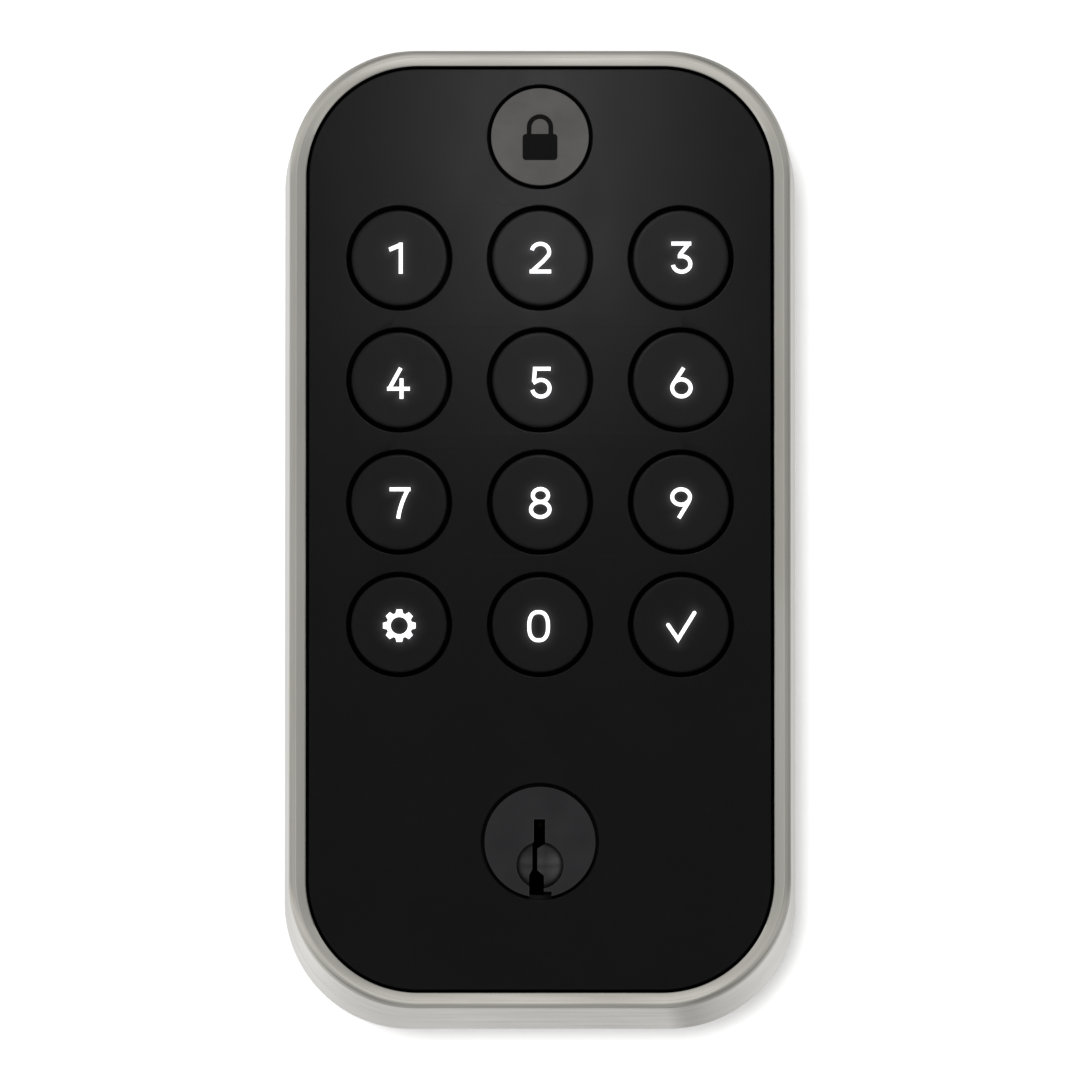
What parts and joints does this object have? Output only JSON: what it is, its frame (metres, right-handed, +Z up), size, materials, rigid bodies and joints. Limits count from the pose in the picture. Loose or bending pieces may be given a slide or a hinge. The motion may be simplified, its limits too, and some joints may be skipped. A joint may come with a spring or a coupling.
{
  "type": "keypad smart lock",
  "caption": "Outside unit of a keypad smart lock: a satin metal bezel round a black panel with round back-lit push keys, a lock button, and a key cylinder that turns a tailpiece.",
  "frame": {"origin": "middle of the unit's flat back, on the door's outer face", "axes": "+X right and +Z up as seen from the front, +Y into the door; the keypad faces -Y"},
  "size_m": [0.066, 0.0845, 0.1254],
  "materials": {
    "satin_nickel": "satin nickel plating, fine brushing round the outline",
    "black_plastic": "fine-grained black",
    "legend_light": "back-lit white legend",
    "grey_metal": "satin dark grey",
    "dark_nickel": "satin black nickel",
    "steel": "zinc-plated",
    "brass": "turned",
    "cast_zinc": "die cast",
    "rear_cover": "matte black powder coat",
    "black_rubber": "matte",
    "silicone": "translucent grey",
    "circuit_board": "green solder mask",
    "white_plastic": "natural nylon"
  },
  "bodies": {
    "lock_unit": {"housing": "satin_nickel", "fascia": "black_plastic", "fascia_seal": "black_rubber", "keypad_membrane": "silicone", "circuit_board": "circuit_board", "radio_module": "steel", "buzzer": "black_plastic", "harness_socket": "white_plastic", "rear_cover": "rear_cover", "door_gasket": "black_rubber", "cable_grommet": "black_rubber", "rear_screw_1": "steel", "rear_screw_2": "steel", "rear_screw_3": "steel", "rear_screw_4": "steel", "board_screw_1": "steel", "board_screw_2": "steel", "board_screw_3": "steel", "board_screw_4": "steel", "fascia_screw_left": "steel", "fascia_screw_right": "steel", "cylinder_shell": "cast_zinc", "pin_chamber_cover": "brass", "pin_spring_1": "steel", "pin_spring_2": "steel", "pin_spring_3": "steel", "pin_spring_4": "steel", "pin_spring_5": "steel", "cylinder_screw_left": "steel", "cylinder_screw_right": "steel", "mounting_post_left": "steel", "mounting_post_right": "steel"},
    "lock_button": {"lock_button": "black_plastic", "lock_button_disc": "grey_metal"},
    "key_1": {"key_1": "black_plastic"},
    "key_2": {"key_2": "black_plastic"},
    "key_3": {"key_3": "black_plastic"},
    "key_4": {"key_4": "black_plastic"},
    "key_5": {"key_5": "black_plastic"},
    "key_6": {"key_6": "black_plastic"},
    "key_7": {"key_7": "black_plastic"},
    "key_8": {"key_8": "black_plastic"},
    "key_9": {"key_9": "black_plastic"},
    "key_settings": {"key_settings": "black_plastic"},
    "key_0": {"key_0": "black_plastic"},
    "key_enter": {"key_enter": "black_plastic"},
    "plug": {"cylinder_plug": "dark_nickel", "retaining_clip": "steel", "tailpiece": "steel", "tailpiece_pin": "steel"},
    "key_pin_1": {"key_pin_1": "brass"},
    "key_pin_2": {"key_pin_2": "brass"},
    "key_pin_3": {"key_pin_3": "brass"},
    "key_pin_4": {"key_pin_4": "brass"},
    "key_pin_5": {"key_pin_5": "brass"},
    "driver_pin_1": {"driver_pin_1": "brass"},
    "driver_pin_2": {"driver_pin_2": "brass"},
    "driver_pin_3": {"driver_pin_3": "brass"},
    "driver_pin_4": {"driver_pin_4": "brass"},
    "driver_pin_5": {"driver_pin_5": "brass"}
  },
  "joints": [
    {"name": "lock_button_press", "type": "slide", "parent": "lock_unit", "child": "lock_button", "axis": [0, 1, 0], "range_m": [0, 0.0008], "stiffness_N_per_m": 1200, "springref_m": -0.0003, "deforming": ["keypad_membrane"]},
    {"name": "key_1_press", "type": "slide", "parent": "lock_unit", "child": "key_1", "axis": [0, 1, 0], "range_m": [0, 0.0008], "stiffness_N_per_m": 1200, "springref_m": -0.0003, "deforming": ["keypad_membrane"]},
    {"name": "key_2_press", "type": "slide", "parent": "lock_unit", "child": "key_2", "axis": [0, 1, 0], "range_m": [0, 0.0008], "stiffness_N_per_m": 1200, "springref_m": -0.0003, "deforming": ["keypad_membrane"]},
    {"name": "key_3_press", "type": "slide", "parent": "lock_unit", "child": "key_3", "axis": [0, 1, 0], "range_m": [0, 0.0008], "stiffness_N_per_m": 1200, "springref_m": -0.0003, "deforming": ["keypad_membrane"]},
    {"name": "key_4_press", "type": "slide", "parent": "lock_unit", "child": "key_4", "axis": [0, 1, 0], "range_m": [0, 0.0008], "stiffness_N_per_m": 1200, "springref_m": -0.0003, "deforming": ["keypad_membrane"]},
    {"name": "key_5_press", "type": "slide", "parent": "lock_unit", "child": "key_5", "axis": [0, 1, 0], "range_m": [0, 0.0008], "stiffness_N_per_m": 1200, "springref_m": -0.0003, "deforming": ["keypad_membrane"]},
    {"name": "key_6_press", "type": "slide", "parent": "lock_unit", "child": "key_6", "axis": [0, 1, 0], "range_m": [0, 0.0008], "stiffness_N_per_m": 1200, "springref_m": -0.0003, "deforming": ["keypad_membrane"]},
    {"name": "key_7_press", "type": "slide", "parent": "lock_unit", "child": "key_7", "axis": [0, 1, 0], "range_m": [0, 0.0008], "stiffness_N_per_m": 1200, "springref_m": -0.0003, "deforming": ["keypad_membrane"]},
    {"name": "key_8_press", "type": "slide", "parent": "lock_unit", "child": "key_8", "axis": [0, 1, 0], "range_m": [0, 0.0008], "stiffness_N_per_m": 1200, "springref_m": -0.0003, "deforming": ["keypad_membrane"]},
    {"name": "key_9_press", "type": "slide", "parent": "lock_unit", "child": "key_9", "axis": [0, 1, 0], "range_m": [0, 0.0008], "stiffness_N_per_m": 1200, "springref_m": -0.0003, "deforming": ["keypad_membrane"]},
    {"name": "key_settings_press", "type": "slide", "parent": "lock_unit", "child": "key_settings", "axis": [0, 1, 0], "range_m": [0, 0.0008], "stiffness_N_per_m": 1200, "springref_m": -0.0003, "deforming": ["keypad_membrane"]},
    {"name": "key_0_press", "type": "slide", "parent": "lock_unit", "child": "key_0", "axis": [0, 1, 0], "range_m": [0, 0.0008], "stiffness_N_per_m": 1200, "springref_m": -0.0003, "deforming": ["keypad_membrane"]},
    {"name": "key_enter_press", "type": "slide", "parent": "lock_unit", "child": "key_enter", "axis": [0, 1, 0], "range_m": [0, 0.0008], "stiffness_N_per_m": 1200, "springref_m": -0.0003, "deforming": ["keypad_membrane"]},
    {"name": "plug_turn", "type": "hinge", "parent": "lock_unit", "child": "plug", "pos_m": [0, 0, -0.04044], "axis": [0, 1, 0], "range_deg": [-90, 90]},
    {"name": "key_pin_1_drop", "type": "slide", "parent": "plug", "child": "key_pin_1", "axis": [0, 0, 1], "range_m": [-0.0023, 0]},
    {"name": "key_pin_2_drop", "type": "slide", "parent": "plug", "child": "key_pin_2", "axis": [0, 0, 1], "range_m": [-0.0017, 0]},
    {"name": "key_pin_3_drop", "type": "slide", "parent": "plug", "child": "key_pin_3", "axis": [0, 0, 1], "range_m": [-0.0029, 0]},
    {"name": "key_pin_4_drop", "type": "slide", "parent": "plug", "child": "key_pin_4", "axis": [0, 0, 1], "range_m": [-0.002, 0]},
    {"name": "key_pin_5_drop", "type": "slide", "parent": "plug", "child": "key_pin_5", "axis": [0, 0, 1], "range_m": [-0.0026, 0]},
    {"name": "driver_pin_1_lift", "type": "slide", "parent": "lock_unit", "child": "driver_pin_1", "axis": [0, 0, 1], "range_m": [0, 0.0022], "stiffness_N_per_m": 60, "springref_m": -0.002, "deforming": ["pin_spring_1"]},
    {"name": "driver_pin_2_lift", "type": "slide", "parent": "lock_unit", "child": "driver_pin_2", "axis": [0, 0, 1], "range_m": [0, 0.0022], "stiffness_N_per_m": 60, "springref_m": -0.002, "deforming": ["pin_spring_2"]},
    {"name": "driver_pin_3_lift", "type": "slide", "parent": "lock_unit", "child": "driver_pin_3", "axis": [0, 0, 1], "range_m": [0, 0.0022], "stiffness_N_per_m": 60, "springref_m": -0.002, "deforming": ["pin_spring_3"]},
    {"name": "driver_pin_4_lift", "type": "slide", "parent": "lock_unit", "child": "driver_pin_4", "axis": [0, 0, 1], "range_m": [0, 0.0022], "stiffness_N_per_m": 60, "springref_m": -0.002, "deforming": ["pin_spring_4"]},
    {"name": "driver_pin_5_lift", "type": "slide", "parent": "lock_unit", "child": "driver_pin_5", "axis": [0, 0, 1], "range_m": [0, 0.0022], "stiffness_N_per_m": 60, "springref_m": -0.002, "deforming": ["pin_spring_5"]}
  ]
}
